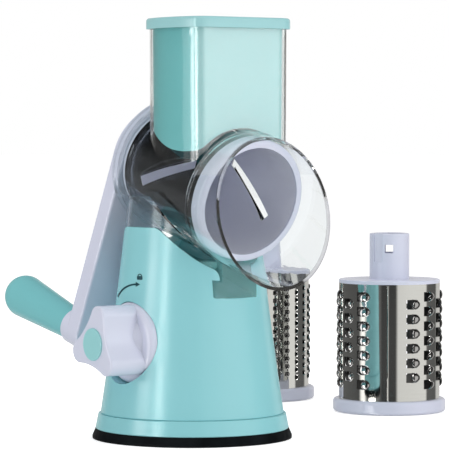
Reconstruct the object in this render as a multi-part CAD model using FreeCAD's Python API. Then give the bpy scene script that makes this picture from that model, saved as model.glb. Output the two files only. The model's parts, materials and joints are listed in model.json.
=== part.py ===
import FreeCAD, Part
import math
import os
from FreeCAD import Matrix, Placement, Rotation, Vector

# Hand cranked rotary shredder on a lockable suction base, with two spare drums.
# Millimetres. The origin is the centre of the base's underside, +Z is up,
# the outlet faces -Y, the lock knob is on the -X side and the crank is at the back.

# Gaps
touch_gap = 0.3
running_gap = 0.06

# Suction pad, collar and body
pad_radius = 66.0
pad_top_radius = 64.0
pad_height = 6.2
pad_edge_height = 1.6
pad_inner_radius = 45.0
collar_top_radius = 62.0
collar_height = 10.2
collar_wall = 4.0
collar_floor = 3.0
collar_floor_lift = 0.8
seam_round = 0.7
body_foot_radius = 60.6
body_middle_radius = 50.2
body_neck_radius = 42.3
body_middle_z = 91.0
body_neck_z = 160.0
body_top_z = 139.5
body_wall = 3.0
ear_front_y = -10.0
ear_front_run = 14.0
ear_front_drop = 5.2
ear_back_y = 14.0
ear_back_run = 13.0
ear_back_drop = 12.5
shoulder_run = 25.0
shoulder_drop = 39.0

# Barrel axis, tilted down to the front
barrel_tilt = 14.75
barrel_axis_z = 174.4
barrel_wall = 2.2
barrel_back = -29.6
rear_wall = 2.2
rear_rim_step = 1.2
rear_rim_width = 4.5
cradle_gap = 7.4
deck_depth = 20.0

# Flared mouth
mouth_lead = 12.4
mouth_lap = 1.5
mouth_step = 1.1
mouth_wall = 2.2
mouth_reach = 24.6
mouth_rim_drop = 0.9
mouth_rim_lean = 9.8
mouth_flare = 1.1
mouth_rise = 4.5

# Chute and pusher
chute_centre_y = -29.3
chute_side_inset = 1.6
chute_half_depth = 29.9
chute_side_radius = 75.0
chute_draft = 0.4
chute_draft_height = 70.0
chute_corner = 9.0
chute_wall = 2.2
chute_top_z = 268.3
chute_foot_z = 165.0
pusher_gap = 0.8
pusher_wall = 2.6
pusher_floor = 3.0
pusher_arch_gap = 6.6
pusher_arch_drop = 3.0
lid_overhang = 2.4
lid_height = 7.0
lid_plug_depth = 5.0
lid_edge_round = 2.0

# Rail under the barrel
rail_neck_half_width = 11.2
rail_foot_half_width = 16.2
rail_cover = 4.8
rail_foot_height = 10.0
rail_front_y = -49.4
rail_back = -8.0
rail_corner_round = 6.0
skirt_wall = 2.4
skirt_back = -24.0

# Drums
drum_shell_radius = 36.4
drum_shell_wall = 0.8
drum_length = 95.4
drum_flange_overhang = 4.2
drum_flange_height = 9.6
drum_flange_lip = 1.6
hub_radius = 14.35
hub_length = 33.0
hub_socket_radius = 10.4
hub_socket_depth = 29.0
end_cap_thickness = 2.6
end_cap_plug = 3.0
hub_notch_width = 7.4
hub_notch_depth = 1.0
hub_notch_length = 20.4
hub_notch_angle = -34.0
hub_edge_round = 0.8
flange_edge_round = 2.4
hub_key_width = 3.0
hub_key_depth = 1.2
hub_window = 6.0
hub_window_from_end = 11.0
drum_gap = 4.0
drum_end_gap = 0.4
slot_count = 4
slot_length = 56.0
slot_width = 6.0
slot_lean = 27.0
slot_middle = 48.0
slot_first_angle = 10.5
tooth_hole_radius = 2.3
tooth_columns = 14
tooth_rows = 7
tooth_first_z = 21.2
tooth_top_margin = 11.5
seam_half_angle = 29.3
coarse_seam_angle = -131.0
coarse_drum_x = 214.0
coarse_drum_y = 55.0
fine_drum_x = 196.5
fine_drum_y = 186.8
fine_hole_radius = 1.2
fine_columns = 20
fine_rows = 8
fine_first_z = 15.6
fine_top_margin = 10.4

# Crank and grip
crank_gap = 0.4
crank_thickness = 13.5
crank_disc_radius = 35.3
crank_arm_length = 127.0
crank_boss_radius = 12.3
crank_boss_depth = 7.5
crank_rest_angle = 18.4
crank_sleeve_radius = 18.5
crank_sleeve_gap = 2.0
crank_cap_thickness = 3.0
crank_edge_round = 1.8
boss_edge_round = 1.0
crank_post_tip_gap = 2.0
grip_gap = 0.4
grip_root_radius = 10.6
grip_tip_radius = 14.6
grip_length = 79.0
grip_pin_radius = 4.0
grip_pin_seat = 12.0
grip_pin_tip_gap = 1.0
grip_pin_reach = 62.0

# Lock knob and shaft
knob_z = 64.65
knob_seat_x = -46.0
knob_skirt_radius = 26.4
knob_skirt_depth = 6.0
knob_face_x = -78.3
knob_lobe_reach = 18.0
knob_lobe_radius = 7.5
knob_waist_radius = 14.5
knob_first_lobe = -13.0
knob_edge_round = 1.2
knob_skirt_round = 4.0
knob_web_radius = 18.2
knob_web_height = 4.5
knob_cap_radius = 10.5
knob_cap_height = 1.2
knob_cap_seat = 1.5
knob_cap_round = 0.6
knob_boss_radius = 31.0
knob_boss_depth = 4.0
shaft_radius = 6.0
shaft_end_x = 18.0
shaft_grip_depth = 14.0
shaft_throw_half = 9.0
cam_pin_radius = 3.0
knob_half_turn = 45.0

# Suction disc, stem and their frame
cup_lift = 4.0
cup_radius = 44.6
cup_thickness = 2.0
cup_boss_radius = 12.0
cup_boss_height = 5.5
stem_radius = 4.0
stem_foot_z = 1.0
yoke_half_thickness = 6.0
yoke_half_width = 13.0
yoke_height = 26.0
yoke_slot_gap = 0.3
frame_plate_half_x = 26.0
frame_plate_half_y = 16.0
frame_plate = 3.0
frame_upright = 4.0
frame_upright_x = 12.0
frame_upright_half_y = 10.0
frame_upright_over = 12.0
frame_screw_x = 21.0
frame_screw_y = 11.0
screw_radius = 1.5
screw_head_radius = 3.0
screw_head = 2.0

X_AXIS = Vector(1, 0, 0)
Z_AXIS = Vector(0, 0, 1)
ORIGIN = Vector(0, 0, 0)
FAR = 400.0
SAME = 0.01

# The barrel's own frame: z runs forward along its axis, x is the part's X, y is up across it.
BARREL = Placement(Vector(0, 0, barrel_axis_z), Rotation(X_AXIS, 90 + barrel_tilt))

# The barrel is sized round the slicing drum, and the cradle, rail, chute and mouth round the barrel.
drum_flange_radius = drum_shell_radius + drum_flange_overhang
barrel_radius = drum_shell_radius + drum_gap + barrel_wall
cradle_radius = barrel_radius + cradle_gap
deck_radius = cradle_radius + deck_depth
rail_foot_top = cradle_radius + rail_cover
rear_rim_radius = barrel_radius + rear_rim_step
chute_half_width = barrel_radius - chute_side_inset
pusher_arch_radius = drum_shell_radius + pusher_arch_drop + pusher_arch_gap
drum_front = barrel_back + rear_wall + drum_end_gap + drum_length
mouth_start = drum_front - mouth_lead
mouth_start_radius = barrel_radius + mouth_step
mouth_rim_half_width = mouth_start_radius + mouth_flare
mouth_rim_half_height = mouth_rim_half_width + mouth_rise
barrel_front = mouth_start + mouth_lap
RIM_IN_BARREL = Placement(Vector(0, -mouth_rim_drop, drum_front + mouth_reach),
                          Rotation(X_AXIS, -barrel_tilt - mouth_rim_lean))
MOUTH_RIM = BARREL.multiply(RIM_IN_BARREL)
crank_front = barrel_back - crank_gap
crank_back = crank_front - crank_thickness

collar_top_z = pad_height + collar_height
floor_top_z = pad_height + collar_floor_lift + collar_floor
cam_offset = cup_lift / 2 / math.sin(math.radians(knob_half_turn))


def placed(shape, placement):
    """A copy of the shape carried by the placement."""
    copy = shape.copy()
    copy.Placement = placement.multiply(copy.Placement)
    return copy


def box(x0, x1, y0, y1, z0, z1):
    return Part.makeBox(x1 - x0, y1 - y0, z1 - z0, Vector(x0, y0, z0))


def rod(radius, z0, z1, x=0.0, y=0.0):
    return Part.makeCylinder(radius, z1 - z0, Vector(x, y, z0), Z_AXIS)


def rod_along_x(radius, x0, x1, y=0.0, z=knob_z):
    return Part.makeCylinder(radius, x1 - x0, Vector(x0, y, z), X_AXIS)


def fused(first, *others):
    return first.multiFuse(list(others)).removeSplitter()


def turned_profile(points):
    """A solid of revolution about Z from (radius, height) points."""
    wire = Part.makePolygon([Vector(r, 0, z) for r, z in points + points[:1]])
    return Part.Face(wire).revolve(ORIGIN, Z_AXIS, 360)


def circle_edges(shape, radius, z=None):
    """The round edges about Z of one radius, at one height or at any."""
    found = []
    for edge in shape.Edges:
        round_edge = isinstance(edge.Curve, Part.Circle) and abs(edge.Curve.Radius - radius) < SAME
        if round_edge and (z is None or abs(edge.Curve.Center.z - z) < SAME):
            found.append(edge)
    return found


def level_edges(shape, z):
    """The edges that lie level at one height."""
    found = []
    for edge in shape.Edges:
        heights = [vertex.Point.z for vertex in edge.Vertexes]
        if all(abs(height - z) < SAME for height in heights):
            found.append(edge)
    return found


def body_cone(inset, z0, z1):
    """The body's waisted cone, drawn in by the inset and cut between two heights."""
    side = Part.Arc(
        Vector(body_foot_radius - inset, 0, collar_top_z),
        Vector(body_middle_radius - inset, 0, body_middle_z),
        Vector(body_neck_radius - inset, 0, body_neck_z),
    ).toShape()
    foot = Vector(0, 0, collar_top_z)
    top = Vector(0, 0, body_neck_z)
    edges = [
        Part.makeLine(foot, Vector(body_foot_radius - inset, 0, collar_top_z)),
        side,
        Part.makeLine(Vector(body_neck_radius - inset, 0, body_neck_z), top),
        Part.makeLine(top, foot),
    ]
    cone = Part.Face(Part.Wire(edges)).revolve(ORIGIN, Z_AXIS, 360)
    return cone.common(box(-FAR, FAR, -FAR, FAR, z0, z1))


def round_corner(y0, z0, y1, z1):
    """A quarter of an oval in the YZ plane that leaves (y0, z0) level and ends at (y1, z1)."""
    turn = math.sin(math.radians(45))
    middle = Vector(0, y0 + (y1 - y0) * turn, z1 + (z0 - z1) * turn)
    return Part.Arc(Vector(0, y0, z0), middle, Vector(0, y1, z1)).toShape()


def above_body():
    """All the space over the body: over the ears, their rounded ends and the back shoulder."""
    front = round_corner(ear_front_y, body_top_z, ear_front_y - ear_front_run, body_top_z - ear_front_drop)
    back = round_corner(ear_back_y, body_top_z, ear_back_y + ear_back_run, body_top_z - ear_back_drop)
    start, end = front.Vertexes[-1].Point, back.Vertexes[-1].Point
    foot = end + Vector(0, shoulder_run, -shoulder_drop)
    corners = [end, foot, Vector(0, FAR, foot.z), Vector(0, FAR, FAR), Vector(0, -FAR, FAR),
               Vector(0, -FAR, start.z), start]
    edges = [front, Part.makeLine(front.Vertexes[0].Point, back.Vertexes[0].Point), back]
    edges += [Part.makeLine(a, b) for a, b in zip(corners, corners[1:])]
    face = Part.Face(Part.Wire(Part.__sortEdges__(edges)))
    face.translate(Vector(-FAR, 0, 0))
    return face.extrude(Vector(2 * FAR, 0, 0))


def barrel_rod(radius, s0, s1):
    """A cylinder on the barrel's axis between two places along it."""
    return placed(rod(radius, s0, s1), BARREL)


def barrel_box(x0, x1, y0, y1, s0, s1):
    return placed(box(x0, x1, y0, y1, s0, s1), BARREL)


def rail_profile(gap, s0, s1):
    """The T-shaped rail under the barrel, or its channel where the gap is more than zero."""
    foot_bottom = rail_foot_top + rail_foot_height
    foot_middle = rail_foot_top + rail_foot_height / 2
    neck = barrel_box(
        -rail_neck_half_width - gap, rail_neck_half_width + gap,
        -foot_middle, -barrel_radius + barrel_wall / 2, s0, s1)
    foot = barrel_box(
        -rail_foot_half_width - gap, rail_foot_half_width + gap,
        -foot_bottom - gap, -rail_foot_top + gap, s0, s1)
    return fused(neck, foot)


def rail_channel():
    """The body's channel for the rail, with round corners where its neck opens into the cradle."""
    channel = rail_profile(touch_gap, rail_back - touch_gap, FAR)
    side = rail_neck_half_width + touch_gap
    # Each corner's centre is as far below the cradle as makes its round touch the cradle and the neck.
    centre_x = side + rail_corner_round
    centre_depth = math.sqrt((cradle_radius + rail_corner_round) ** 2 - centre_x ** 2)
    touch_x = centre_x * cradle_radius / (cradle_radius + rail_corner_round)
    corners = barrel_box(-touch_x, touch_x, -centre_depth, -barrel_radius, rail_back - touch_gap, FAR)
    for x in (-centre_x, centre_x):
        round_part = rod(rail_corner_round, rail_back - touch_gap, FAR, x, -centre_depth)
        corners = corners.cut(placed(round_part, BARREL))
    return fused(channel, corners)


# Base

def suction_pad():
    """The rubber ring that the shredder stands on."""
    return turned_profile([
        (pad_inner_radius, 0), (pad_radius, 0), (pad_radius, pad_edge_height),
        (pad_top_radius, pad_height), (pad_inner_radius, pad_height)])


def base_collar():
    """The lower band, with the floor that carries the locking frame."""
    z0, z1 = pad_height, collar_top_z
    floor_z = pad_height + collar_floor_lift
    band = turned_profile([
        (pad_inner_radius, z0), (pad_top_radius, z0), (collar_top_radius, z1),
        (collar_top_radius - collar_wall, z1), (collar_top_radius - collar_wall, floor_top_z),
        (cup_boss_radius + touch_gap, floor_top_z), (cup_boss_radius + touch_gap, floor_z),
        (pad_inner_radius, floor_z)])
    seams = circle_edges(band, pad_top_radius, z0) + circle_edges(band, collar_top_radius, z1)
    band = band.makeFillet(seam_round, seams)
    for x, y in screw_places():
        band = band.cut(rod(screw_radius, z0, z1, x, y))
    return band


def base_shell():
    """The tapered body: hollow, with the cradle deck, the rail channel and the knob's seat."""
    solid = body_cone(0, collar_top_z, body_top_z)
    solid = solid.makeFillet(seam_round, circle_edges(solid, body_foot_radius, collar_top_z))
    hollow = body_cone(body_wall, collar_top_z, body_top_z)
    hollow = hollow.cut(barrel_rod(deck_radius, -FAR, FAR))
    shoulder = math.atan2(shoulder_drop, shoulder_run)
    inwards = Vector(0, -math.sin(shoulder), -math.cos(shoulder)) * body_wall
    hollow = hollow.cut(placed(above_body(), Placement(inwards, Rotation())))
    boss = rod_along_x(knob_boss_radius, -FAR, knob_seat_x + knob_boss_depth)
    shell = solid.cut(hollow.cut(boss))
    shell = shell.cut(barrel_rod(cradle_radius, -FAR, FAR))
    shell = shell.cut(above_body())
    shell = shell.cut(rail_channel())
    shell = shell.cut(rod_along_x(knob_skirt_radius + touch_gap, -FAR, knob_seat_x))
    shell = shell.cut(rod_along_x(shaft_radius + running_gap, -FAR, 0))
    return shell


def screw_places():
    return [(sx * frame_screw_x, sy * frame_screw_y) for sx in (-1, 1) for sy in (-1, 1)]


def frame_screw(x, y):
    """A pan head screw that holds the locking frame to the collar's floor."""
    head_z = floor_top_z + frame_plate
    shank = rod(screw_radius, pad_height + collar_floor_lift, head_z, x, y)
    return fused(shank, rod(screw_head_radius, head_z, head_z + screw_head, x, y))


def locking_frame():
    """The bracket that guides the stem and carries the knob's shaft."""
    plate_top = floor_top_z + frame_plate
    plate = box(-frame_plate_half_x, frame_plate_half_x, -frame_plate_half_y, frame_plate_half_y,
                floor_top_z, plate_top)
    sides = []
    for side in (-1, 1):
        inner, outer = sorted((side * frame_upright_x, side * (frame_upright_x + frame_upright)))
        sides.append(box(inner, outer, -frame_upright_half_y, frame_upright_half_y,
                         plate_top, knob_z + frame_upright_over))
    frame = fused(plate, *sides)
    frame = frame.cut(rod(stem_radius + running_gap, floor_top_z, plate_top))
    reach = frame_upright_x + frame_upright
    frame = frame.cut(rod_along_x(shaft_radius + running_gap, -reach, reach))
    for x, y in screw_places():
        frame = frame.cut(rod(screw_radius, floor_top_z, plate_top, x, y))
    return frame


# Lock knob and suction disc

def knob_grip(z0, z1):
    """A three lobed block about Z: round lobe tips joined by wide hollow arcs."""
    reach, tip, waist = knob_lobe_reach, knob_lobe_radius, knob_waist_radius
    # The hollow arc's centre is as far out as makes the arc touch both tips and the waist.
    hollow_reach = (reach ** 2 - (tip - waist) ** 2) / (reach + 2 * (tip - waist))
    edges = []
    for k in range(3):
        angle = math.radians(knob_first_lobe + 120 * k)
        lobe = Vector(math.cos(angle), math.sin(angle), 0) * reach
        touches = []
        for side in (-1, 1):
            outer = angle + side * math.radians(60)
            hollow = Vector(math.cos(outer), math.sin(outer), 0) * hollow_reach
            touches.append(lobe + (hollow - lobe).normalize() * tip)
        crest = lobe + Vector(lobe).normalize() * tip
        if edges:
            edges.append(hollow_arc(edges[-1], touches[0], waist, angle))
        edges.append(Part.Arc(touches[0], crest, touches[1]).toShape())
    first = edges[0].Vertexes[0].Point
    edges.append(hollow_arc(edges[-1], first, waist, math.radians(knob_first_lobe + 360)))
    face = Part.Face(Part.Wire(edges))
    face.translate(Vector(0, 0, z0))
    grip = face.extrude(Vector(0, 0, z1 - z0))
    return grip.makeFillet(knob_edge_round, level_edges(grip, z1))


def hollow_arc(before, end, waist, angle):
    """The arc from one lobe tip to the next through the waist between them."""
    between = angle - math.radians(60)
    middle = Vector(math.cos(between), math.sin(between), 0) * waist
    return Part.Arc(before.Vertexes[-1].Point, middle, end).toShape()


def along_knob(shape):
    """Carries a shape about Z to the knob's axis, with Z pointing outwards along -X."""
    return placed(shape, Placement(Vector(0, 0, knob_z), Rotation(Vector(0, 1, 0), -90)))


def knob_dial():
    """The knob: a round skirt in the body's recess and a three lobed grip on it."""
    seat = -knob_seat_x
    face = -knob_face_x
    skirt_top = seat + touch_gap + knob_skirt_depth
    skirt = rod(knob_skirt_radius, seat + touch_gap, skirt_top)
    skirt = skirt.makeFillet(knob_skirt_round, circle_edges(skirt, knob_skirt_radius, skirt_top))
    web = Part.makeCone(knob_web_radius, knob_waist_radius, knob_web_height, Vector(0, 0, skirt_top))
    grip = knob_grip(seat + touch_gap + knob_skirt_depth / 2, face)
    knob = fused(skirt, web, grip)
    knob = knob.cut(rod(knob_cap_radius, face - knob_cap_seat, face))
    knob = knob.cut(rod(shaft_radius, seat, seat + shaft_grip_depth))
    return along_knob(knob)


def knob_cap():
    """The round coloured cap set in the knob's face."""
    face = -knob_face_x
    top = face + knob_cap_height
    cap = rod(knob_cap_radius, face - knob_cap_seat, top)
    cap = cap.makeFillet(knob_cap_round, circle_edges(cap, knob_cap_radius, top))
    return along_knob(cap)


def knob_shaft():
    """The shaft from the knob, with a crank throw where the stem's yoke rides."""
    angle = math.radians(-knob_half_turn)
    y, z = cam_offset * math.cos(angle), knob_z + cam_offset * math.sin(angle)
    outer = rod_along_x(shaft_radius, knob_seat_x - shaft_grip_depth, -shaft_throw_half)
    inner = rod_along_x(shaft_radius, shaft_throw_half, shaft_end_x)
    pin = rod_along_x(cam_pin_radius, -shaft_throw_half, shaft_throw_half, y, z)
    return fused(outer, pin, inner)


def suction_disc():
    """The rubber middle of the suction foot, with a boss for the stem."""
    disc = fused(rod(cup_radius, 0, cup_thickness), rod(cup_boss_radius, 0, cup_boss_height))
    return disc.cut(rod(stem_radius, stem_foot_z, cup_boss_height))


def suction_stem():
    """The stem with the slotted yoke that the shaft's throw lifts."""
    pin_z = knob_z - cup_lift / 2
    yoke_z0 = pin_z - yoke_height / 2
    slot = cam_pin_radius + yoke_slot_gap
    yoke = box(-yoke_half_thickness, yoke_half_thickness, -yoke_half_width, yoke_half_width,
               yoke_z0, yoke_z0 + yoke_height)
    window = box(-yoke_half_thickness, yoke_half_thickness, -slot - cam_offset, slot + 2 * cam_offset,
                 pin_z - slot, pin_z + slot)
    return fused(rod(stem_radius, stem_foot_z, yoke_z0), yoke.cut(window))


# Clear housing

def chute_outline(grow, z):
    """A closed wire round the chute: flat front and back, bowed sides and round corners.

    It is drawn out by grow, or in where grow is less than zero, and draws in towards the foot."""
    draft = chute_draft * (chute_top_z - z) / chute_draft_height
    half_x = chute_half_width - draft + grow
    half_y = chute_half_depth + grow
    corner = chute_corner + grow
    bow = chute_side_radius + grow
    # Each corner's centre is where its round touches the flat end and the bowed side.
    corner_y = half_y - corner
    lean = math.asin(corner_y / (bow - corner))
    corner_x = half_x - bow + (bow - corner) * math.cos(lean)
    touch = Vector(half_x - bow + bow * math.cos(lean), bow * math.sin(lean), 0)
    turn = lean / 2 + math.radians(45)
    crest = Vector(corner_x + corner * math.cos(turn), corner_y + corner * math.sin(turn), 0)
    back = [Vector(half_x, 0, 0), touch, crest, Vector(corner_x, half_y, 0)]
    right = [Vector(point.x, -point.y, 0) for point in reversed(back)] + back[1:]
    left = [Vector(-point.x, point.y, 0) for point in reversed(right)]
    edges = []
    for side, other in ((right, left), (left, right)):
        for k in (0, 2, 4):
            edges.append(Part.Arc(*side[k:k + 3]).toShape())
        edges.append(Part.makeLine(side[-1], other[0]))
    wire = Part.Wire(edges)
    wire.translate(Vector(0, chute_centre_y, z))
    return wire


def chute_prism(inset, z0, z1):
    """The chute's drafted block, drawn in by the inset, between two heights."""
    return Part.makeLoft([chute_outline(-inset, z0), chute_outline(-inset, z1)], True, True)


def oval_wire(half_x, half_y, placement):
    """An ellipse in the placement's own plane that starts on its x axis."""
    stretch = Matrix()
    stretch.scale(1, half_y / half_x, 1)
    oval = Part.makeCircle(half_x).transformGeometry(stretch)
    return Part.Wire([placed(oval, placement)])


def mouth_cone(inset):
    """The flared spout from the barrel's front to the slanted oval rim."""
    start = BARREL.multiply(Placement(Vector(0, 0, mouth_start), Rotation()))
    radius = mouth_start_radius - inset
    wires = [
        oval_wire(radius, radius, start),
        oval_wire(mouth_rim_half_width - inset, mouth_rim_half_height - inset, MOUTH_RIM),
    ]
    return Part.makeLoft(wires, True, True)


def housing_skirt():
    """The thin apron that follows the body's cone from the barrel down to the cradle's edge."""
    top = body_neck_z
    skin = body_cone(0, collar_top_z, top).cut(body_cone(skirt_wall, collar_top_z, top))
    low = skin.common(barrel_rod(cradle_radius - touch_gap, skirt_back, barrel_front))
    high = skin.common(box(-FAR, FAR, -FAR, FAR, body_top_z + touch_gap, top))
    high = high.cut(barrel_box(-FAR, FAR, -FAR, FAR, -FAR, skirt_back))
    skirt = fused(low, high)
    skirt = skirt.cut(barrel_rod(barrel_radius - barrel_wall / 2, -FAR, FAR))
    return skirt.cut(barrel_box(-FAR, FAR, 0, FAR, -FAR, FAR))


def drum_housing():
    """The clear barrel with its chute, flared mouth, rear wall, apron and T-rail."""
    rim = barrel_rod(rear_rim_radius, barrel_back, barrel_back + rear_rim_width)
    rail = rail_profile(0, rail_back, drum_front)
    rail = rail.cut(box(-FAR, FAR, -FAR, rail_front_y, -FAR, FAR))
    solid = fused(
        barrel_rod(barrel_radius, barrel_back, barrel_front), rim,
        chute_prism(0, chute_foot_z, chute_top_z), mouth_cone(0), rail, housing_skirt())
    solid = solid.cut(barrel_rod(barrel_radius - barrel_wall, barrel_back + rear_wall, barrel_front))
    solid = solid.cut(mouth_cone(mouth_wall))
    solid = solid.cut(chute_prism(chute_wall, chute_foot_z, chute_top_z))
    bore = barrel_rod(hub_radius + running_gap, barrel_back, barrel_back + rear_wall)
    return solid.cut(bore)


# Pusher

def pusher_body():
    """The hollow pusher in the chute, with an underside arched to clear the drum."""
    inset = chute_wall + pusher_gap
    outer = chute_prism(inset, chute_foot_z, chute_top_z)
    inner = chute_prism(inset + pusher_wall, chute_foot_z, chute_top_z)
    arch_axis = BARREL.multiply(Placement(Vector(0, -pusher_arch_drop, 0), Rotation()))
    arch = placed(rod(pusher_arch_radius, -FAR, FAR), arch_axis)
    floor = placed(rod(pusher_arch_radius + pusher_floor, -FAR, FAR), arch_axis)
    return outer.cut(arch).cut(inner.cut(floor))


def pusher_lid():
    """The pusher's lid, whose lip rests on the chute's top edge."""
    top = chute_top_z + lid_height
    wire = chute_outline(lid_overhang, chute_top_z)
    slab = Part.Face(wire).extrude(Vector(0, 0, top - chute_top_z))
    slab = slab.makeFillet(lid_edge_round, level_edges(slab, top))
    plug = chute_prism(chute_wall + pusher_gap + pusher_wall, chute_top_z - lid_plug_depth, chute_top_z)
    return fused(slab, plug)


# Drums, standing on their flange with z up through the hub

def drum_flange():
    """The ring round the drum's open end."""
    ring = rod(drum_flange_radius, 0, drum_flange_height)
    ring = ring.makeFillet(flange_edge_round, circle_edges(ring, drum_flange_radius))
    ring = ring.cut(rod(drum_shell_radius, drum_flange_lip, drum_flange_height))
    return ring.cut(rod(drum_shell_radius - drum_shell_wall, 0, drum_flange_lip))


def drum_tube():
    """The plain steel tube before any cutter is made."""
    top = drum_length - end_cap_thickness
    tube = rod(drum_shell_radius, drum_flange_lip, top)
    return tube.cut(rod(drum_shell_radius - drum_shell_wall, drum_flange_lip, top))


def drum_hub():
    """The end cap that closes the tube, with its hub: a keyed socket and a latch window through both sides."""
    end = drum_length + hub_length
    cap_z = drum_length - end_cap_thickness
    cap = rod(drum_shell_radius, cap_z, drum_length)
    plug = rod(drum_shell_radius - drum_shell_wall, cap_z - end_cap_plug, cap_z)
    hub = fused(rod(hub_radius, drum_length, end), cap, plug)
    rims = circle_edges(hub, hub_radius, end) + circle_edges(hub, drum_shell_radius, drum_length)
    hub = hub.makeFillet(hub_edge_round, rims)
    socket = rod(hub_socket_radius, end - hub_socket_depth, end)
    keys = []
    reach = hub_socket_radius + hub_key_depth
    half = hub_key_width / 2
    for angle in (0, 90):
        key = box(-reach, reach, -half, half, end - hub_socket_depth, end)
        keys.append(placed(key, Placement(ORIGIN, Rotation(Z_AXIS, angle + 45))))
    window_z = end - hub_window_from_end
    half = hub_window / 2
    window = box(-FAR, FAR, -half, half, window_z - half, window_z + half)
    window = placed(window, Placement(ORIGIN, Rotation(Z_AXIS, coarse_seam_angle)))
    half = hub_notch_width / 2
    notch = box(hub_radius - hub_notch_depth, FAR, -half, half, end - hub_notch_length, end)
    notch = placed(notch, Placement(ORIGIN, Rotation(Z_AXIS, coarse_seam_angle + hub_notch_angle)))
    return hub.cut(fused(socket, *keys)).cut(window).cut(notch)


def slicing_shell():
    """A steel tube with long slanted slicing slots."""
    tube = drum_tube()
    for k in range(slot_count):
        blade = box(0, FAR, -slot_width / 2, slot_width / 2, -slot_length / 2, slot_length / 2)
        lean = Placement(ORIGIN, Rotation(X_AXIS, slot_lean))
        angle = slot_first_angle + 360 * k / slot_count
        turn = Placement(Vector(0, 0, slot_middle), Rotation(Z_AXIS, angle))
        tube = tube.cut(placed(blade, turn.multiply(lean)))
    return tube


def holed_shell(hole_radius, columns, rows, first_z, top_margin):
    """A steel tube with staggered columns of round holes either side of a plain seam."""
    holes = []
    step = (360 - 2 * seam_half_angle) / (columns - 1)
    pitch = (drum_length - top_margin - first_z) / (rows - 1)
    inner = drum_shell_radius - drum_shell_wall - touch_gap
    outer = drum_shell_radius + touch_gap
    for column in range(columns):
        short = 1 - column % 2
        turn = Rotation(Z_AXIS, coarse_seam_angle + seam_half_angle + step * column)
        for row in range(rows - short):
            z = first_z + pitch * (row + short / 2)
            hole = rod_along_x(hole_radius, inner, outer, 0, z)
            holes.append(placed(hole, Placement(ORIGIN, turn)))
    return drum_tube().cut(Part.makeCompound(holes))


def coarse_shell():
    return holed_shell(tooth_hole_radius, tooth_columns, tooth_rows, tooth_first_z, tooth_top_margin)


def fine_shell():
    return holed_shell(fine_hole_radius, fine_columns, fine_rows, fine_first_z, fine_top_margin)


# Crank

CRANK = BARREL.multiply(Placement(ORIGIN, Rotation(Z_AXIS, -crank_rest_angle)))
GRIP = CRANK.multiply(Placement(Vector(0, -crank_arm_length, 0), Rotation()))


def arm_plate(s0, s1):
    """A plate round the disc and the boss, joined by their outer tangents."""
    big, small, reach = crank_disc_radius, crank_boss_radius, crank_arm_length
    lean = math.asin((big - small) / reach)
    high = Vector(big * math.cos(lean), -big * math.sin(lean), s0)
    low = Vector(small * math.cos(lean), -reach - small * math.sin(lean), s0)
    mirror = [Vector(-p.x, p.y, p.z) for p in (high, low)]
    edges = [
        Part.Arc(high, Vector(0, big, s0), mirror[0]).toShape(),
        Part.makeLine(mirror[0], mirror[1]),
        Part.Arc(mirror[1], Vector(0, -reach - small, s0), low).toShape(),
        Part.makeLine(low, high),
    ]
    plate = Part.Face(Part.Wire(edges)).extrude(Vector(0, 0, s1 - s0))
    return plate.makeFillet(crank_edge_round, level_edges(plate, s0) + level_edges(plate, s1))


def crank_arm():
    """The teardrop arm with the sleeve behind its disc and the boss for the grip."""
    sleeve_end = drum_front - drum_length - hub_length - crank_sleeve_gap
    boss_end = crank_back - crank_boss_depth
    boss = rod(crank_boss_radius, boss_end, crank_front - crank_edge_round, 0, -crank_arm_length)
    boss = boss.makeFillet(boss_edge_round, circle_edges(boss, crank_boss_radius, boss_end))
    sleeve = rod(crank_sleeve_radius, sleeve_end, crank_back)
    arm = fused(arm_plate(crank_back, crank_front), sleeve, boss)
    arm = arm.cut(rod(hub_radius + touch_gap, sleeve_end, crank_front))
    arm = arm.cut(rod(grip_pin_radius, boss_end, boss_end + grip_pin_seat, 0, -crank_arm_length))
    return placed(arm, CRANK)


def crank_post():
    """The keyed post on the sleeve's end cap that turns the drum's hub."""
    hub_end = drum_front - drum_length - hub_length
    cap_front = hub_end - crank_sleeve_gap
    tip = hub_end + hub_socket_depth - crank_post_tip_gap
    radius = hub_socket_radius - touch_gap
    half = hub_key_width / 2 - touch_gap
    reach = hub_socket_radius + hub_key_depth - touch_gap
    keys = []
    for angle in (0, 90):
        key = box(-reach, reach, -half, half, cap_front, tip)
        keys.append(placed(key, Placement(ORIGIN, Rotation(Z_AXIS, angle + 45))))
    cap_back = cap_front - crank_cap_thickness
    cap = rod(crank_sleeve_radius, cap_back, cap_front)
    cap = cap.makeFillet(boss_edge_round, circle_edges(cap, crank_sleeve_radius, cap_back))
    return placed(fused(cap, rod(radius, cap_front, tip), *keys), BARREL)


def grip_pin():
    """The steel pin in the crank's boss that the grip spins on."""
    boss_end = crank_back - crank_boss_depth
    return placed(rod(grip_pin_radius, boss_end - grip_pin_reach, boss_end + grip_pin_seat), GRIP)


def handle_grip():
    """The tapered grip with a domed end, open at the front for its pin."""
    front = crank_back - crank_boss_depth - grip_gap
    dome = front - grip_length + grip_tip_radius
    cone = Part.makeCone(grip_tip_radius, grip_root_radius, front - dome, Vector(0, 0, dome), Z_AXIS)
    grip = fused(cone, Part.makeSphere(grip_tip_radius, Vector(0, 0, dome)))
    bore_depth = grip_pin_reach - grip_gap + grip_pin_tip_gap
    grip = grip.cut(rod(grip_pin_radius + running_gap, front - bore_depth, front))
    return placed(grip, GRIP)


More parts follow.
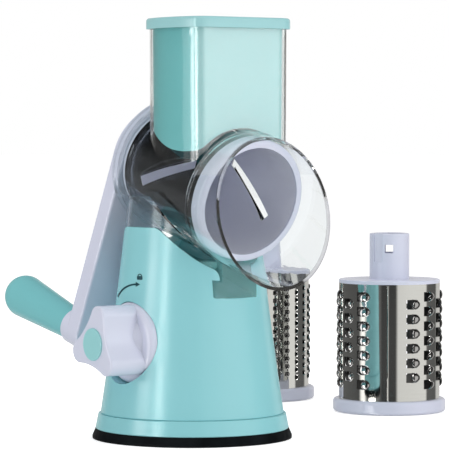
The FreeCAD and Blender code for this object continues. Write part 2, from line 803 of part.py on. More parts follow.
# The slicing drum lies in the barrel with its flange at the front.
DRUM_IN_BARREL = BARREL.multiply(Placement(Vector(0, 0, drum_front), Rotation(Vector(0, 1, 0), 180)))
DRUMS = {
    "slicing": (slicing_shell, DRUM_IN_BARREL),
    "coarse": (coarse_shell, Placement(Vector(coarse_drum_x, coarse_drum_y, 0), Rotation())),
    "fine": (fine_shell, Placement(Vector(fine_drum_x, fine_drum_y, 0), Rotation())),
}

pieces = {
    "suction_pad": suction_pad(),
    "base_collar": base_collar(),
    "base_shell": base_shell(),
    "locking_frame": locking_frame(),
    "knob_dial": knob_dial(),
    "knob_cap": knob_cap(),
    "knob_shaft": knob_shaft(),
    "suction_disc": suction_disc(),
    "suction_stem": suction_stem(),
    "drum_housing": drum_housing(),
    "pusher_body": pusher_body(),
    "pusher_lid": pusher_lid(),
    "crank_arm": crank_arm(),
    "crank_post": crank_post(),
    "grip_pin": grip_pin(),
    "handle_grip": handle_grip(),
}
for number, place in enumerate(screw_places(), 1):
    pieces[f"frame_screw_{number}"] = frame_screw(*place)
for name, (make_shell, placement) in DRUMS.items():
    pieces[f"{name}_drum_shell"] = placed(make_shell(), placement)
    pieces[f"{name}_drum_flange"] = placed(drum_flange(), placement)
    pieces[f"{name}_drum_hub"] = placed(drum_hub(), placement)

os.makedirs("parts", exist_ok=True)
for name, shape in pieces.items():
    solids = len(shape.Solids)
    box_of = shape.optimalBoundingBox(False, False)
    print(f"{name}: solids {solids}, valid {shape.isValid()}, volume {shape.Volume:.1f}, "
          f"z {box_of.ZMin:.2f} to {box_of.ZMax:.2f}")
    shape.exportStep(f"parts/{name}.step")
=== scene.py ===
# %% [markdown]
# # A hand cranked shredder with three drums
# The imported model already has every part at its real size and place. This lesson dresses it: each
# part gets a finish, the steel drums get their punched teeth, and a small studio is set up round it.
# We start by loading the model.

# %% Load the frame
import json
import math
import bpy
from mathutils import Matrix, Vector

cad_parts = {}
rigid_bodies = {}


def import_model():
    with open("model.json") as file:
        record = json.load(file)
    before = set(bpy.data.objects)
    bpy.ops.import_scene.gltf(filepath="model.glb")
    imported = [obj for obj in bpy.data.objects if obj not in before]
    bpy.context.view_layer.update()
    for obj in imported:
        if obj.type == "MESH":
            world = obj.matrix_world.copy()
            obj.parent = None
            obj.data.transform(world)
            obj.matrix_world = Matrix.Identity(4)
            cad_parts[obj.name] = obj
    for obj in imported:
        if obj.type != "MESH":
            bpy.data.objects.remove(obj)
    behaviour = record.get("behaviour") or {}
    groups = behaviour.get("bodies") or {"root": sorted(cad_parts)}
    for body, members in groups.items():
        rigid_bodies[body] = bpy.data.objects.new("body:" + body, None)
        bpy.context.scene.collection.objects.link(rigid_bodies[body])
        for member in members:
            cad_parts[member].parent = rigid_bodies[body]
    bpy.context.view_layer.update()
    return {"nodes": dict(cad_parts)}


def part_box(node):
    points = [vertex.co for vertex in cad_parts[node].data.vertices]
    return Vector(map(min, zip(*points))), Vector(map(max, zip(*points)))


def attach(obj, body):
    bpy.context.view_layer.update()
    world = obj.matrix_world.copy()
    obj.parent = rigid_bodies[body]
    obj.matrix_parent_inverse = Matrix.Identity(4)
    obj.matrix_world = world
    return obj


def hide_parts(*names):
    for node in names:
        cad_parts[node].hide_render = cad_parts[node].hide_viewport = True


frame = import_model()
MM = 0.001

# %% [markdown]
# ## Places that are used more than once
# The barrel leans down to the front, so everything in it is made upright at the origin and then
# carried over by one matrix. The loose drums stand upright: their boxes give their centres.

# %% Where the drums are
DRUM_RADIUS = 36.4 * MM
DRUM_WALL = 0.8 * MM
DRUM_FRONT = 68.4 * MM
BARREL_TILT = math.radians(14.75)
BARREL_HEIGHT = 174.4 * MM
BARREL = Matrix.Translation((0, 0, BARREL_HEIGHT)) @ Matrix.Rotation(math.pi / 2 + BARREL_TILT, 4, "X")
SLICING_PLACE = BARREL @ Matrix.Translation((0, 0, DRUM_FRONT)) @ Matrix.Rotation(math.pi, 4, "Y")


def standing_place(node):
    """The matrix that carries a drum made upright at the origin to where its node stands."""
    low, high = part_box(node)
    return Matrix.Translation(((low.x + high.x) / 2, (low.y + high.y) / 2, 0))


COARSE_PLACE = standing_place("coarse_drum_flange")
FINE_PLACE = standing_place("fine_drum_flange")
print("coarse drum at", COARSE_PLACE.translation[:], "fine drum at", FINE_PLACE.translation[:])

# %% [markdown]
# ## Small helpers
# An operator works on whatever is selected, so we clear the selection before every new piece.

# %% Selecting


def pick(*objects):
    """Selects only these objects and makes the last one active."""
    for other in bpy.context.view_layer.objects:
        other.select_set(False)
    for chosen in objects:
        chosen.select_set(True)
    if objects:
        bpy.context.view_layer.objects.active = objects[-1]


def named(name):
    """Names the object that an operator has just added."""
    made = bpy.context.object
    made.name = name
    made.data.name = name
    return made


def settle(piece, place):
    """Carries the piece's mesh to its place, so that the object itself stays at the origin."""
    pick(piece)
    bpy.ops.object.transform_apply(location=True, rotation=True, scale=True)
    piece.data.transform(place)
    piece.data.update()


def smooth(piece, degrees):
    """Shades a piece smooth, apart from edges that turn by more than these degrees."""
    pick(piece)
    bpy.ops.object.shade_smooth_by_angle(angle=math.radians(degrees))


# %% [markdown]
# ## Camera
# The photograph was taken from low down and to the left with a long lens. The place and the lens
# come from fitting the outlines of the foot, the barrel and the drums.

# %% Set up the camera
CAMERA_PLACE = (-1.0556, -1.4844, 0.2034)
CAMERA_HEADING = 36.09
CAMERA_DROP = 2.01
LENS_PIXELS = 2760
PHOTO_TALL = 452
SENSOR = 36

pick()
bpy.ops.object.camera_add(location=CAMERA_PLACE)
camera = bpy.context.object
camera.rotation_euler = (math.radians(90 - CAMERA_DROP), 0, math.radians(-CAMERA_HEADING))
camera.data.sensor_fit = "AUTO"
camera.data.sensor_width = SENSOR
camera.data.lens = LENS_PIXELS / PHOTO_TALL * SENSOR
camera.data.clip_start = 0.01
camera.data.clip_end = 50
bpy.context.scene.camera = camera
bpy.context.scene.view_settings.view_transform = "Standard"
print("lens", round(camera.data.lens, 1), "mm")

# %% [markdown]
# ## Studio
# Polished steel has no look of its own: it shows the room. So the world holds a ring of pale and
# dark walls for mirror rays only, placed by their angle from the camera's side. The camera, and
# what is seen straight through clear plastic, get plain white, and matt surfaces an even grey light.

# %% Describe the walls
ROOM = [
    (-180, 0.62), (-150, 0.55), (-136, 0.10), (-76, 0.05), (-69, 1.6), (-62, 1.6), (-56, 0.22),
    (-51, 0.3), (-46, 11.0), (-40, 11.0), (-34, 0.3), (-24, 0.10), (-20, 0.012), (11, 0.012),
    (17, 0.90), (60, 0.95), (88, 0.98), (93, 0.10), (126, 0.08), (134, 0.72), (180, 0.62)]
ROOM_TINT = (1.0, 0.975, 0.94)
AMBIENT = 0.59
CEILING_FROM = 0.25
CEILING_FULL = 0.55
CEILING = 0.10


def node(tree, kind, **sockets):
    """Adds a node and sets the sockets that are given by name."""
    made = tree.nodes.new(kind)
    for socket, value in sockets.items():
        made.inputs[socket.replace("_", " ")].default_value = value
    return made


def combine(tree, kind, first, second=0):
    """A maths node on two sockets, or on a socket and a number. Some kinds need only the first."""
    made = tree.nodes.new("ShaderNodeMath")
    made.operation = kind
    tree.links.new(first, made.inputs[0])
    if isinstance(second, (int, float)):
        made.inputs[1].default_value = second
    else:
        tree.links.new(second, made.inputs[1])
    return made.outputs[0]


def ray_kinds(tree):
    """Two sockets: 1 for a ray that comes straight from the camera, and 1 for one off a mirror."""
    path = tree.nodes.new("ShaderNodeLightPath").outputs
    through = combine(tree, "MAXIMUM", path["Is Camera Ray"], path["Is Transmission Ray"])
    polished = combine(tree, "MAXIMUM", path["Is Glossy Ray"], path["Is Transmission Ray"])
    no_mirror = combine(tree, "LESS_THAN", path["Glossy Depth"], 0.5)
    no_matt = combine(tree, "LESS_THAN", path["Diffuse Depth"], 0.5)
    straight = combine(tree, "MULTIPLY", combine(tree, "MULTIPLY", through, no_mirror), no_matt)
    return straight, combine(tree, "MULTIPLY", polished, no_matt)


print("walls:", len(ROOM))

# %% Build the room


def wall_colours(tree):
    """The ring of walls, read by the ray's heading."""
    link = tree.links.new
    ray = tree.nodes.new("ShaderNodeTexCoord")
    turn = tree.nodes.new("ShaderNodeMapping")
    turn.inputs["Rotation"].default_value = (0, 0, math.radians(90 + CAMERA_HEADING))
    axes = tree.nodes.new("ShaderNodeSeparateXYZ")
    link(ray.outputs["Generated"], turn.inputs["Vector"])
    link(turn.outputs["Vector"], axes.inputs[0])
    heading = combine(tree, "ARCTAN2", axes.outputs["Y"], axes.outputs["X"])
    place = node(tree, "ShaderNodeMapRange", From_Min=-math.pi, From_Max=math.pi)
    link(heading, place.inputs["Value"])
    ramp = tree.nodes.new("ShaderNodeValToRGB")
    link(place.outputs[0], ramp.inputs["Fac"])
    stops = ramp.color_ramp.elements
    stops.remove(stops[-1])
    for number, (degrees, grey) in enumerate(ROOM):
        spot = degrees / 360 + 0.5
        stop = stops[0] if number == 0 else stops.new(spot)
        stop.position = spot
        stop.color = (grey * ROOM_TINT[0], grey * ROOM_TINT[1], grey * ROOM_TINT[2], 1)
    return ramp.outputs["Color"], wall_strength(tree, axes.outputs["Z"])


def wall_strength(tree, height):
    """1 for a level ray, fading to the dark ceiling for a ray that climbs."""
    fade = node(tree, "ShaderNodeMapRange", From_Min=CEILING_FROM, From_Max=CEILING_FULL,
                To_Min=1.0, To_Max=CEILING)
    tree.links.new(height, fade.inputs["Value"])
    return fade.outputs[0]


def build_room():
    """Sets the world that this section's first words describe."""
    world = bpy.data.worlds.new("room")
    bpy.context.scene.world = world
    world.use_nodes = True
    tree = world.node_tree
    tree.nodes.clear()
    link = tree.links.new
    walls = tree.nodes.new("ShaderNodeBackground")
    colour, strength = wall_colours(tree)
    link(colour, walls.inputs["Color"])
    link(strength, walls.inputs["Strength"])
    even = node(tree, "ShaderNodeBackground", Color=(1, 1, 1, 1), Strength=AMBIENT)
    white = node(tree, "ShaderNodeBackground", Color=(1, 1, 1, 1), Strength=1.0)
    straight, mirrored = ray_kinds(tree)
    light = tree.nodes.new("ShaderNodeMixShader")
    link(mirrored, light.inputs["Fac"])
    link(even.outputs[0], light.inputs[1])
    link(walls.outputs[0], light.inputs[2])
    whole = tree.nodes.new("ShaderNodeMixShader")
    link(straight, whole.inputs["Fac"])
    link(light.outputs[0], whole.inputs[1])
    link(white.outputs[0], whole.inputs[2])
    out = tree.nodes.new("ShaderNodeOutputWorld")
    link(whole.outputs[0], out.inputs["Surface"])


build_room()
print("room nodes:", len(bpy.context.scene.world.node_tree.nodes))

# %% [markdown]
# ## Lamps
# A broad soft box stands in front on the right, a weaker one on the left, and a wide lamp hangs
# overhead. Each is aimed at the middle of the part. The walls already give the steel its
# reflections, so only matt surfaces need these lamps. One low, narrow lamp does show in mirrors: it
# is there for the white line down the chute's front corner, and stands too high for the drums.

# %% Hang the lamps
AIM = Vector((0.04, 0.0, 0.13))
CHUTE_EDGE = Vector((-0.030, -0.052, 0.247))


def soft_box(name, bearing, distance, height, wide, tall, power, aim=AIM):
    """An area lamp at a bearing from the camera's side, positive to the right."""
    turn = math.radians(-90 - CAMERA_HEADING + bearing)
    place = aim + Vector((math.cos(turn) * distance, math.sin(turn) * distance, height))
    pick()
    bpy.ops.object.light_add(type="AREA", location=place)
    lamp = bpy.context.object
    lamp.name = name
    lamp.data.shape = "RECTANGLE"
    lamp.data.size = wide
    lamp.data.size_y = tall
    lamp.data.energy = power
    lamp.rotation_euler = (aim - place).to_track_quat("-Z", "Y").to_euler()
    lamp.visible_glossy = False
    lamp.visible_camera = False
    return lamp


soft_box("left_box", -70, 1.7, 0.25, 0.9, 1.2, 4.0)
soft_box("right_box", 55, 1.8, 0.35, 1.3, 1.3, 12.5)
soft_box("top_box", 0, 0.05, 1.6, 1.6, 1.6, 10.0)
edge_strip = soft_box("edge_strip", -66, 1.0, 0.0, 0.34, 0.17, 0.95, CHUTE_EDGE)
edge_strip.visible_glossy = True

# %% [markdown]
# ## Floor
# A round white floor carries the part's soft shadow. Mirror rays pass through nearly all of it, so
# that the steel shows the room's walls down to its foot. A little light of its own, for the camera
# alone, brings the far floor up to the white of the background, so that no horizon shows.

# %% Lay the floor
FLOOR_RADIUS = 20.0
FLOOR_DROP = 0.2 * MM
FLOOR_LIFT = 0.48
FLOOR_GONE_IN_MIRRORS = 0.93


def floor_material():
    """Matt white that lights itself a little for the camera and is gone for mirrors."""
    material = bpy.data.materials.new("floor_white")
    material.use_nodes = True
    tree = material.node_tree
    tree.nodes.clear()
    link = tree.links.new
    matt = node(tree, "ShaderNodeBsdfDiffuse", Color=(0.92, 0.92, 0.92, 1))
    lift = node(tree, "ShaderNodeEmission", Color=(1, 1, 1, 1))
    straight, mirrored = ray_kinds(tree)
    link(combine(tree, "MULTIPLY", straight, FLOOR_LIFT), lift.inputs["Strength"])
    both = tree.nodes.new("ShaderNodeAddShader")
    link(matt.outputs[0], both.inputs[0])
    link(lift.outputs[0], both.inputs[1])
    gone = tree.nodes.new("ShaderNodeBsdfTransparent")
    is_glossy = tree.nodes.new("ShaderNodeLightPath").outputs["Is Glossy Ray"]
    whole = tree.nodes.new("ShaderNodeMixShader")
    link(combine(tree, "MULTIPLY", is_glossy, FLOOR_GONE_IN_MIRRORS), whole.inputs["Fac"])
    link(both.outputs[0], whole.inputs[1])
    link(gone.outputs[0], whole.inputs[2])
    out = tree.nodes.new("ShaderNodeOutputMaterial")
    link(whole.outputs[0], out.inputs["Surface"])
    return material


pick()
bpy.ops.mesh.primitive_circle_add(vertices=64, radius=FLOOR_RADIUS, fill_type="NGON",
                                 location=(0, 0, -FLOOR_DROP))
floor = named("floor")
settle(floor, Matrix.Identity(4))
floor.data.materials.append(floor_material())
print("floor", floor.dimensions[:])

# %% [markdown]
# ## Finishes
# Most of the part is glossy moulded plastic. Real mouldings are never quite even: the colour
# drifts a little, the gloss is patchy and the skin has a very fine ripple. One recipe makes them
# all, from noise on the object's own coordinates, so a pattern never slides.

# %% The plastic recipe


def material_tree(name):
    """A new material with its shader and object coordinates ready."""
    material = bpy.data.materials.new(name)
    material.use_nodes = True
    tree = material.node_tree
    tree.nodes.clear()
    shader = tree.nodes.new("ShaderNodeBsdfPrincipled")
    out = tree.nodes.new("ShaderNodeOutputMaterial")
    tree.links.new(shader.outputs[0], out.inputs["Surface"])
    where = tree.nodes.new("ShaderNodeTexCoord")
    return material, tree, shader, where.outputs["Object"]


def noise(tree, where, scale, detail=3.0, stretch=(1, 1, 1)):
    """A noise pattern with so many waves to the metre."""
    shape = tree.nodes.new("ShaderNodeMapping")
    shape.inputs["Scale"].default_value = stretch
    tree.links.new(where, shape.inputs["Vector"])
    pattern = node(tree, "ShaderNodeTexNoise", Scale=scale, Detail=detail)
    tree.links.new(shape.outputs[0], pattern.inputs["Vector"])
    return pattern.outputs["Fac"]


def between(tree, factor, low, high):
    """Carries a pattern's middle half to the span from low to high."""
    span = node(tree, "ShaderNodeMapRange", From_Min=0.3, From_Max=0.7, To_Min=low, To_Max=high)
    tree.links.new(factor, span.inputs["Value"])
    return span.outputs[0]


def two_tone(tree, factor, dark, light):
    """Carries a pattern's middle part to a blend of two colours."""
    ramp = tree.nodes.new("ShaderNodeValToRGB")
    ramp.color_ramp.elements[0].position = 0.3
    ramp.color_ramp.elements[1].position = 0.7
    ramp.color_ramp.elements[0].color = (*dark, 1)
    ramp.color_ramp.elements[1].color = (*light, 1)
    tree.links.new(factor, ramp.inputs["Fac"])
    return ramp.outputs["Color"]


def ripple(tree, shader, factor, height, strength=0.4):
    """Bumps the surface by a pattern, with the height in metres."""
    bump = node(tree, "ShaderNodeBump", Distance=height, Strength=strength)
    tree.links.new(factor, bump.inputs["Height"])
    tree.links.new(bump.outputs[0], shader.inputs["Normal"])


def moulded(name, colour, gloss=(0.20, 0.27), drift=0.012, grain=900, height=0.00002):
    """Glossy moulded plastic."""
    material, tree, shader, where = material_tree(name)
    slow = noise(tree, where, 22, 2.0)
    dark = tuple(channel * (1 - drift) for channel in colour)
    light = tuple(min(1, channel * (1 + drift)) for channel in colour)
    tree.links.new(two_tone(tree, slow, dark, light), shader.inputs["Base Color"])
    tree.links.new(between(tree, noise(tree, where, 90), *gloss), shader.inputs["Roughness"])
    ripple(tree, shader, noise(tree, where, grain, 4.0), height)
    shader.inputs["IOR"].default_value = 1.5
    return material


def linear(red, green, blue):
    """A colour given on a 0 to 255 screen, as the shader wants it."""
    return tuple((channel / 255) ** 2.2 for channel in (red, green, blue))


turquoise = moulded("turquoise_plastic", linear(142, 205, 211))
pusher_teal = moulded("pusher_plastic", linear(126, 200, 201))
grip_turquoise = moulded("grip_plastic", linear(122, 192, 196))
lid_teal = moulded("lid_plastic", linear(156, 206, 209))
lavender = moulded("pale_plastic", linear(210, 213, 230))
cap_turquoise = moulded("cap_plastic", linear(150, 208, 210), gloss=(0.3, 0.36))
bracket_grey = moulded("bracket_plastic", linear(150, 156, 160), gloss=(0.4, 0.5))
print("plastics:", turquoise.name, pusher_teal.name, lavender.name)

# %% [markdown]
# The foot is black rubber: no gloss to speak of, a fine grain, and a little dust.

# %% Rubber
RUBBER_BLACK = (0.003, 0.004, 0.005)
RUBBER_DUSTY = (0.008, 0.010, 0.012)
RUBBER_SHINE = 0.04


def rubber_material():
    """Matt black with a little dust."""
    material, tree, shader, where = material_tree("black_rubber")
    dust = noise(tree, where, 60, 4.0)
    tree.links.new(two_tone(tree, dust, RUBBER_BLACK, RUBBER_DUSTY), shader.inputs["Base Color"])
    tree.links.new(between(tree, noise(tree, where, 240), 0.45, 0.62), shader.inputs["Roughness"])
    ripple(tree, shader, noise(tree, where, 1500, 3.0), 0.0001)
    shader.inputs["Specular IOR Level"].default_value = RUBBER_SHINE
    return material


rubber = rubber_material()
print(rubber.name)

# %% [markdown]
# The drums are polished steel. Their sheet isn't perfectly true, so the walls of the room wobble
# in it: a slow ripple does that. Fine drawn lines run round the sheet and soften the shine. The
# slicing drum is tinted dark outside as painted shade. Inside it is satin, less metallic and painted pale as
# painted light.

# %% Steel
# Painted shade and light: the slicing drum's outside tint is dark as painted shade, and its inside tint is
# pale as painted light.
BLADE_OUTSIDE_SHADE = (0.34, 0.35, 0.38)
BLADE_INSIDE_LIGHT = (0.80, 0.81, 0.88)
BLADE_SATIN = 0.32
BLADE_LESS_METAL = 0.45
MIX_FIRST, MIX_SECOND, MIX_RESULT = 6, 7, 2


def steel_material(name, rough, tint=(0.66, 0.67, 0.65), wobble=0.00012, drawn=60):
    """Bare steel. The drawn lines get closer along Z with the last number."""
    material, tree, shader, where = material_tree(name)
    lines = noise(tree, where, 40, 3.0, (1, 1, drawn))
    dark = tuple(channel * 0.94 for channel in tint)
    tree.links.new(two_tone(tree, lines, dark, tint), shader.inputs["Base Color"])
    tree.links.new(between(tree, lines, rough, rough * 1.6), shader.inputs["Roughness"])
    shader.inputs["Metallic"].default_value = 1.0
    ripple(tree, shader, noise(tree, where, 38, 1.0, (1, 1, 0.4)), wobble)
    return material


def off_axis(tree, where, place):
    """How far a point is from the axis that runs along Z in the given place, in metres."""
    axis = place.to_3x3() @ Vector((0, 0, 1))
    from_place = tree.nodes.new("ShaderNodeVectorMath")
    from_place.operation = "SUBTRACT"
    from_place.inputs[1].default_value = place.translation
    tree.links.new(where, from_place.inputs[0])
    across = tree.nodes.new("ShaderNodeVectorMath")
    across.operation = "CROSS_PRODUCT"
    across.inputs[1].default_value = axis
    tree.links.new(from_place.outputs[0], across.inputs[0])
    length = tree.nodes.new("ShaderNodeVectorMath")
    length.operation = "LENGTH"
    tree.links.new(across.outputs[0], length.inputs[0])
    return length.outputs["Value"]


def blend_colours(tree, factor, first, second):
    """A colour socket that goes from the first colour socket to a second, plain colour."""
    mix = tree.nodes.new("ShaderNodeMix")
    mix.data_type = "RGBA"
    tree.links.new(factor, mix.inputs["Factor"])
    tree.links.new(first, mix.inputs[MIX_FIRST])
    mix.inputs[MIX_SECOND].default_value = (*second, 1)
    return mix.outputs[MIX_RESULT]


def falling(tree, factor, drop):
    """1 less the factor times the drop."""
    less = tree.nodes.new("ShaderNodeMath")
    less.operation = "MULTIPLY_ADD"
    less.inputs[1].default_value = -drop
    less.inputs[2].default_value = 1.0
    tree.links.new(factor, less.inputs[0])
    return less.outputs[0]


def slicing_steel():
    """Polished steel, tinted dark outside as painted shade, whose inner face, found by its distance from the
    barrel's axis, is satin, less metallic and painted pale as painted light.
    """
    material = steel_material("blade_steel", 0.10, tint=BLADE_OUTSIDE_SHADE, drawn=1)
    tree = material.node_tree
    shader = next(made for made in tree.nodes if made.type == "BSDF_PRINCIPLED")
    where = next(made for made in tree.nodes if made.type == "TEX_COORD").outputs["Object"]
    # The inner face gets a pale, satin, less metallic finish as painted light.
    inside = combine(tree, "LESS_THAN", off_axis(tree, where, BARREL), DRUM_RADIUS - DRUM_WALL / 2)
    plain = shader.inputs["Base Color"].links[0].from_socket
    tree.links.new(blend_colours(tree, inside, plain, BLADE_INSIDE_LIGHT), shader.inputs["Base Color"])
    rough = shader.inputs["Roughness"].links[0].from_socket
    satin = combine(tree, "MULTIPLY", inside, BLADE_SATIN)
    tree.links.new(combine(tree, "ADD", rough, satin), shader.inputs["Roughness"])
    tree.links.new(falling(tree, inside, BLADE_LESS_METAL), shader.inputs["Metallic"])
    return material


mirror_steel = steel_material("polished_steel", 0.04)
blade_steel = slicing_steel()
# Painted shade: the grating drums' inner faces get this dark steel, which stands for the shade inside the
# drum.
shaded_inner_steel = steel_material("shaded_inner_steel", 0.35, tint=(0.12, 0.12, 0.12))
hood_steel = steel_material("hood_steel", 0.08, tint=(0.42, 0.42, 0.42))
plain_steel = steel_material("plain_steel", 0.2)
print(mirror_steel.name, blade_steel.name, shaded_inner_steel.name, plain_steel.name)

# %% [markdown]
# The housing is clear moulded plastic. Its walls are real solids, and real walls bend sight very
# little, so the bending is kept low and a clear coat gives the gloss. One material serves the whole
# moulding and finds its places by planes and by the distance from the barrel's axis. The two outer
# rims get painted shade: a grey colour for the look along the wall. The rail under the barrel gets
# painted light: a milky teal for the body's light through it. The chute's front gets painted
# light: a paler, less clear wall for the strong light on it. Rays to the lamps pass straight through,
# or all inside goes dark.

# %% Clear plastic
WALL_BENDING = 1.16
COAT_BENDING = 1.5
BARREL_SKIN = 43.2 * MM
FRONT_FACE = -54.5 * MM
# Painted light: the chute's front wall lets less through and shows its pale colour, standing for strong light
# on it.
FRONT_PAINTED_LIGHT = 0.15
RAIL_TOP = 118 * MM
RAIL_FRONT = -52 * MM
APRON_TOP = 158 * MM
RIM_LEAN = math.radians(9.8)
RIM_TURN = Matrix.Rotation(-BARREL_TILT - RIM_LEAN, 4, "X")
RIM_PLACE = BARREL @ Matrix.Translation((0, -0.9 * MM, 93 * MM)) @ RIM_TURN
REAR_RIM_PLACE = BARREL @ Matrix.Translation((0, 0, -27.4 * MM))
RIM_REACH = 1.0 * MM
REAR_RIM_REACH = 0.9 * MM
REAR_RIM_SHARE = 0.6
# Painted shade: the two outer rims are painted grey where one looks along the wall.
RIM_PAINTED_SHADE = (0.52, 0.52, 0.55)
# Painted light: the rail is painted milky teal, standing for the body's coloured light coming through it.
RAIL_PAINTED_LIGHT_TEAL = (0.34, 0.68, 0.67)
RAIL_PAINTED_LIGHT_SHARE = 0.28
APRON_LESS_COAT = 0.75


def near_plane(tree, where, place, reach):
    """1 within reach of a plane through the place, and 0 further off. The plane is level in its own frame."""
    normal = place.to_3x3() @ Vector((0, 0, 1))
    along = tree.nodes.new("ShaderNodeVectorMath")
    along.operation = "DOT_PRODUCT"
    along.inputs[1].default_value = normal
    tree.links.new(where, along.inputs[0])
    off = combine(tree, "SUBTRACT", along.outputs["Value"], place.translation.dot(normal))
    return combine(tree, "LESS_THAN", combine(tree, "ABSOLUTE", off), reach)


def axes_of(tree, where):
    """Sockets for the Y and the Z of a point."""
    axes = tree.nodes.new("ShaderNodeSeparateXYZ")
    tree.links.new(where, axes.inputs[0])
    return axes.outputs["Y"], axes.outputs["Z"]


def clear_material():
    """Clear plastic with painted shade on its rims and painted light on its rail and on the chute's front."""
    material, tree, shader, where = material_tree("clear_plastic")
    link = tree.links.new
    slow = noise(tree, where, 18, 2.0)
    depth, height = axes_of(tree, where)
    front_rim = near_plane(tree, where, RIM_PLACE, RIM_REACH)
    rear_rim = near_plane(tree, where, REAR_RIM_PLACE, REAR_RIM_REACH)
    rim = combine(tree, "MAXIMUM", front_rim, combine(tree, "MULTIPLY", rear_rim, REAR_RIM_SHARE))
    rail = combine(tree, "MULTIPLY", combine(tree, "LESS_THAN", height, RAIL_TOP),
                   combine(tree, "GREATER_THAN", depth, RAIL_FRONT))
    # The wall colour carries the painted light on the rail and the painted shade on the rims.
    wall = two_tone(tree, slow, (0.93, 0.965, 0.965), (0.955, 0.98, 0.98))
    wall_and_rail_light = blend_colours(tree, rail, wall, RAIL_PAINTED_LIGHT_TEAL)
    link(blend_colours(tree, rim, wall_and_rail_light, RIM_PAINTED_SHADE), shader.inputs["Base Color"])
    link(between(tree, noise(tree, where, 70), 0.01, 0.03), shader.inputs["Roughness"])
    # Painted light on the chute's front, above the barrel and outside its skin.
    chute = combine(tree, "GREATER_THAN", off_axis(tree, where, BARREL), BARREL_SKIN)
    front = combine(tree, "LESS_THAN", depth, FRONT_FACE)
    above = combine(tree, "GREATER_THAN", height, BARREL_HEIGHT)
    front_painted_light = combine(tree, "MULTIPLY", combine(tree, "MULTIPLY", chute, front), above)
    front_painted_light = combine(tree, "MULTIPLY", front_painted_light, FRONT_PAINTED_LIGHT)
    rail_painted_light = combine(tree, "MULTIPLY", rail, RAIL_PAINTED_LIGHT_SHARE)
    painted_light_share = combine(tree, "ADD", front_painted_light, rail_painted_light)
    link(falling(tree, painted_light_share, 1.0), shader.inputs["Transmission Weight"])
    shader.inputs["IOR"].default_value = WALL_BENDING
    apron = combine(tree, "MULTIPLY", combine(tree, "LESS_THAN", height, APRON_TOP),
                    combine(tree, "GREATER_THAN", depth, RAIL_FRONT))
    link(falling(tree, apron, APRON_LESS_COAT), shader.inputs["Coat Weight"])
    shader.inputs["Coat IOR"].default_value = COAT_BENDING
    shader.inputs["Coat Roughness"].default_value = 0.02
    ripple(tree, shader, noise(tree, where, 30, 1.0), 0.00006)
    lit = node(tree, "ShaderNodeBsdfTransparent", Color=(0.93, 0.96, 0.96, 1))
    path = tree.nodes.new("ShaderNodeLightPath")
    whole = tree.nodes.new("ShaderNodeMixShader")
    light_rays = combine(tree, "MAXIMUM", path.outputs["Is Shadow Ray"], path.outputs["Is Diffuse Ray"])
    link(light_rays, whole.inputs["Fac"])
    link(shader.outputs[0], whole.inputs[1])
    link(lit.outputs[0], whole.inputs[2])
    out = next(made for made in tree.nodes if made.type == "OUTPUT_MATERIAL")
    link(whole.outputs[0], out.inputs["Surface"])
    return material


clear_plastic = clear_material()
print(clear_plastic.name)

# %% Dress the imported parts
FINISHES = {
    rubber: ["suction_pad", "suction_disc"],
    turquoise: ["base_collar", "base_shell"],
    grip_turquoise: ["handle_grip"],
    cap_turquoise: ["knob_cap"],
    pusher_teal: ["pusher_body"],
    lid_teal: ["pusher_lid"],
    clear_plastic: ["drum_housing"],
    lavender: ["knob_dial", "crank_arm", "crank_post"],
    bracket_grey: ["locking_frame"],
    plain_steel: ["knob_shaft", "suction_stem", "grip_pin"],
    blade_steel: ["slicing_drum_shell"],
    mirror_steel: ["coarse_drum_shell", "fine_drum_shell"],
}
for number in range(1, 5):
    FINISHES[plain_steel].append(f"frame_screw_{number}")
for drum in ("slicing", "coarse", "fine"):
    FINISHES[lavender].append(f"{drum}_drum_flange")
    FINISHES[lavender].append(f"{drum}_drum_hub")


def dress(part, material):
    """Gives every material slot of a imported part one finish."""
    if not part.material_slots:
        part.data.materials.append(material)
    for slot in part.material_slots:
        slot.material = material


for material, parts in FINISHES.items():
    for part in parts:
        dress(frame["nodes"][part], material)
print("dressed:", sum(len(parts) for parts in FINISHES.values()), "parts")

# %% [markdown]
# ## A punched sheet
# Each tooth is punched from the sheet: the steel is cut on one side, pushed outwards as a hood, and
# leaves an opening in front of the hood. We make a plain tube, cut all the openings at once with a
# boolean of joined plugs, and set a hood at each opening. Everything is made about Z at the origin
# and carried to its drum at the end. X is outwards, Y runs round the drum and Z up it.

# %% Make a plug for one opening
DRUM_WALL_LOW = 1.6 * MM
DRUM_WALL_HIGH = 92.8 * MM
TUBE_SIDES = 180
PLUG_DEPTH = 5 * MM
HAIR = 0.0001 * MM


def opening_plug(name, length, width, sides):
    """A plug with a flat end towards -Y and a round one towards +Y, across the drum's wall."""
    pick()
    bpy.ops.mesh.primitive_cylinder_add(vertices=sides, radius=0.5, depth=PLUG_DEPTH,
                                        rotation=(0, math.pi / 2, 0))
    plug = named(name)
    plug.scale = (width, width, 1)
    settle(plug, Matrix.Identity(4))
    bpy.ops.object.mode_set(mode="EDIT")
    bpy.ops.mesh.select_all(action="DESELECT")
    bpy.ops.object.mode_set(mode="OBJECT")
    for vertex in plug.data.vertices:
        vertex.select = vertex.co.y < -HAIR
    bpy.ops.object.mode_set(mode="EDIT")
    bpy.ops.transform.resize(value=(1, 0, 1), center_override=(0, 0, 0))
    bpy.ops.transform.translate(value=(0, width / 2 - length, 0))
    bpy.ops.object.mode_set(mode="OBJECT")
    plug.data.transform(Matrix.Translation((0, (length - width) / 2, 0)))
    return plug


coarse_plug = opening_plug("coarse_plug", 10.6 * MM, 7.0 * MM, 24)
print("plug:", len(coarse_plug.data.vertices), "points, size", coarse_plug.dimensions[:])

# %% Copy a shape over a drum


